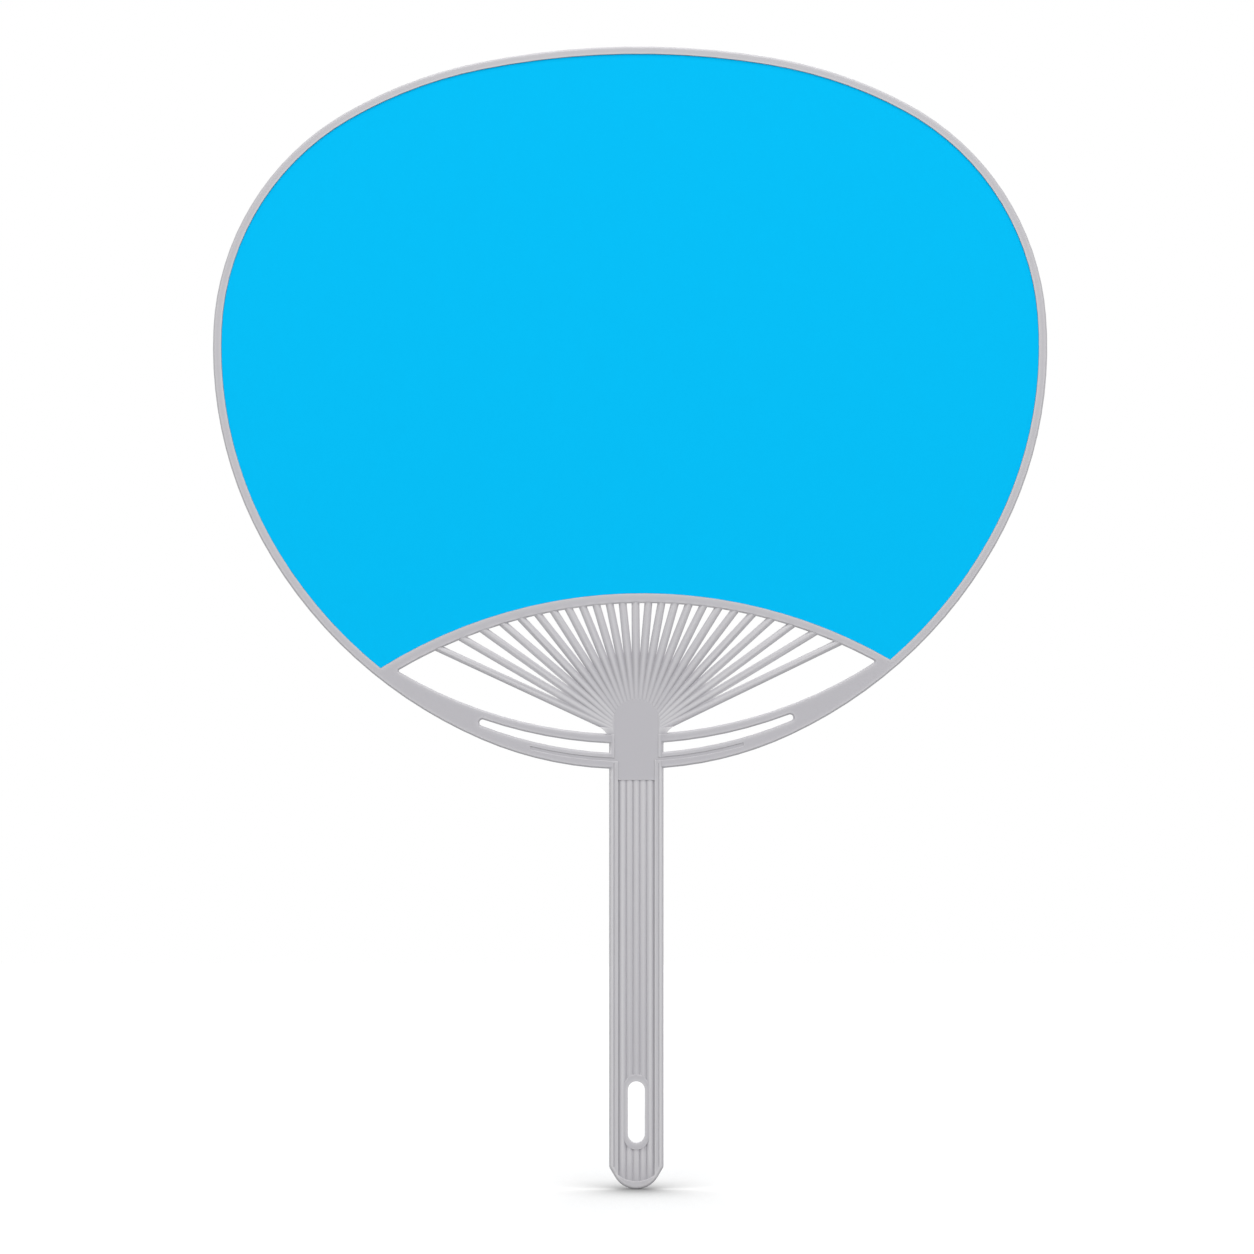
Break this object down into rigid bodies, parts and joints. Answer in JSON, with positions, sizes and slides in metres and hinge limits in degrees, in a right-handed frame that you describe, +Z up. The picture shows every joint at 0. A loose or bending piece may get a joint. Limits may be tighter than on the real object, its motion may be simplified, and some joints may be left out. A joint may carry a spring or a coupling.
{
  "type": "hand fan",
  "caption": "Round flat hand fan: a one-piece moulded plastic handle, hub, rib fan and rim, with a plain blue sheet glued to each face.",
  "frame": {"origin": "middle of the handle's butt end, at its lowest point, halfway between the two faces", "axes": "+Z up along the handle to the head, +X to the right seen from the front, the front sheet faces -Y"},
  "size_m": [0.2501, 0.0028, 0.3426],
  "materials": {
    "frame_plastic": "satin",
    "sheet": "matte",
    "glue": "matte"
  },
  "bodies": {
    "root": {"frame": "frame_plastic", "front_sheet": "sheet", "back_sheet": "sheet", "front_glue": "glue", "back_glue": "glue"}
  },
  "joints": []
}
